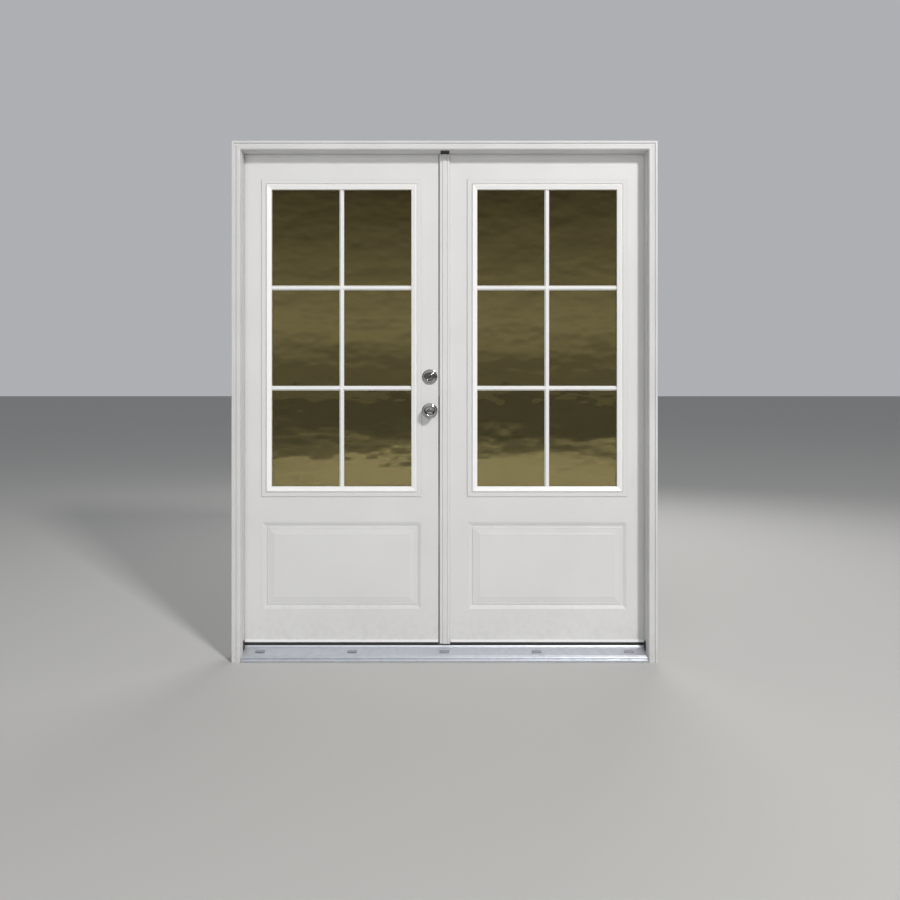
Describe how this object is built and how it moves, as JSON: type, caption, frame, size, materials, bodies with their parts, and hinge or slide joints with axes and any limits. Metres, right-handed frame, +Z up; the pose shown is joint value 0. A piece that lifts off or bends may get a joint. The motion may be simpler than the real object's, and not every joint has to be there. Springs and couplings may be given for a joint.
{
  "type": "french doors",
  "caption": "Double entry doors with divided glass lights over raised panels, hung in a cased frame with sill, knobs, locks and hinges.",
  "frame": {"origin": "middle of the sill's underside, halfway through the jambs' depth and midway between the jambs", "axes": "+X to the right as seen from outside, +Y into the room, +Z up; the casing and the key side face -Y"},
  "size_m": [1.727, 0.1721, 2.116],
  "materials": {
    "frame_white": "white satin paint on smooth wood",
    "leaf_white": "white satin paint, smooth",
    "bright_white": "white moulded plastic, satin",
    "clear_glass": "clear",
    "spacer_aluminium": "mill finish",
    "sill_aluminium": "satin anodised, bluish grey, a little dusty",
    "sill_core": "bare composite wood",
    "cap_plastic": "grey, smooth",
    "sweep_vinyl": "black, smooth, with a white rail along its outer face",
    "black_rubber": "matt black",
    "satin_nickel": "nickel, softly polished with turned rings",
    "hinge_nickel": "satin nickel",
    "bolt_steel": "brushed"
  },
  "bodies": {
    "frame": {"left_jamb": "frame_white", "right_jamb": "frame_white", "head_jamb": "frame_white", "left_casing": "frame_white", "right_casing": "frame_white", "head_casing": "frame_white", "sill_base": "sill_core", "sill_cover": "sill_aluminium", "threshold_cap": "cap_plastic", "weep_covers": "sill_aluminium", "left_weatherstrip": "black_rubber", "right_weatherstrip": "black_rubber", "head_weatherstrip": "black_rubber", "sill_end_seals": "black_rubber", "head_pad": "black_rubber", "flush_bolt_keepers": "hinge_nickel", "left_frame_hinge_top": "hinge_nickel", "left_frame_hinge_middle": "hinge_nickel", "left_frame_hinge_bottom": "hinge_nickel", "right_frame_hinge_top": "hinge_nickel", "right_frame_hinge_middle": "hinge_nickel", "right_frame_hinge_bottom": "hinge_nickel", "left_hinge_pins": "hinge_nickel", "right_hinge_pins": "hinge_nickel"},
    "active_leaf": {"active_slab": "leaf_white", "active_lite_frame_outer": "bright_white", "active_lite_frame_inner": "bright_white", "active_glass": "clear_glass", "active_glass_spacer": "spacer_aluminium", "active_grille": "bright_white", "active_sweep": "sweep_vinyl", "active_leaf_hinge_top": "hinge_nickel", "active_leaf_hinge_middle": "hinge_nickel", "active_leaf_hinge_bottom": "hinge_nickel", "knob_outer_rose": "satin_nickel", "knob_inner_rose": "satin_nickel", "deadbolt_outer_rose": "satin_nickel", "deadbolt_inner_rose": "satin_nickel", "lock_cases": "bolt_steel"},
    "inactive_leaf": {"inactive_slab": "leaf_white", "inactive_lite_frame_outer": "bright_white", "inactive_lite_frame_inner": "bright_white", "inactive_glass": "clear_glass", "inactive_glass_spacer": "spacer_aluminium", "inactive_grille": "bright_white", "inactive_sweep": "sweep_vinyl", "inactive_leaf_hinge_top": "hinge_nickel", "inactive_leaf_hinge_middle": "hinge_nickel", "inactive_leaf_hinge_bottom": "hinge_nickel", "meeting_post": "leaf_white", "meeting_post_seal": "black_rubber", "strike_plates": "hinge_nickel"},
    "turn": {"thumbturn": "satin_nickel", "key_plug": "satin_nickel"},
    "deadbolt": {"deadbolt": "bolt_steel"},
    "knob": {"knob_outer": "satin_nickel", "knob_inner": "satin_nickel"},
    "latch": {"latch_bolt": "bolt_steel"},
    "top_bolt": {"top_flush_bolt": "bolt_steel"},
    "bottom_bolt": {"bottom_flush_bolt": "bolt_steel"}
  },
  "joints": [
    {"name": "active_swing", "type": "hinge", "parent": "frame", "child": "active_leaf", "pos_m": [-0.837, 0.0565, 0], "axis": [0, 0, 1], "range_deg": [0, 105]},
    {"name": "inactive_swing", "type": "hinge", "parent": "frame", "child": "inactive_leaf", "pos_m": [0.837, 0.0565, 0], "axis": [0, 0, -1], "range_deg": [0, 105]},
    {"name": "thumbturn_turn", "type": "hinge", "parent": "active_leaf", "child": "turn", "pos_m": [-0.0605, 0, 1.158], "axis": [0, 1, 0], "range_deg": [0, 90]},
    {"name": "deadbolt_slide", "type": "slide", "parent": "active_leaf", "child": "deadbolt", "axis": [1, 0, 0], "range_m": [0, 0.0255]},
    {"name": "knob_turn", "type": "hinge", "parent": "active_leaf", "child": "knob", "pos_m": [-0.0605, 0, 1.018], "axis": [0, 1, 0], "range_deg": [0, 60]},
    {"name": "latch_slide", "type": "slide", "parent": "active_leaf", "child": "latch", "axis": [1, 0, 0], "range_m": [0, 0.0128]},
    {"name": "top_bolt_slide", "type": "slide", "parent": "inactive_leaf", "child": "top_bolt", "axis": [0, 0, 1], "range_m": [0, 0.02]},
    {"name": "bottom_bolt_slide", "type": "slide", "parent": "inactive_leaf", "child": "bottom_bolt", "axis": [0, 0, -1], "range_m": [0, 0.02]}
  ],
  "couplings": [
    {"joint": "deadbolt_slide", "follows": "thumbturn_turn", "m_per_rad": 0.01617},
    {"joint": "latch_slide", "follows": "knob_turn", "m_per_rad": 0.012127}
  ]
}
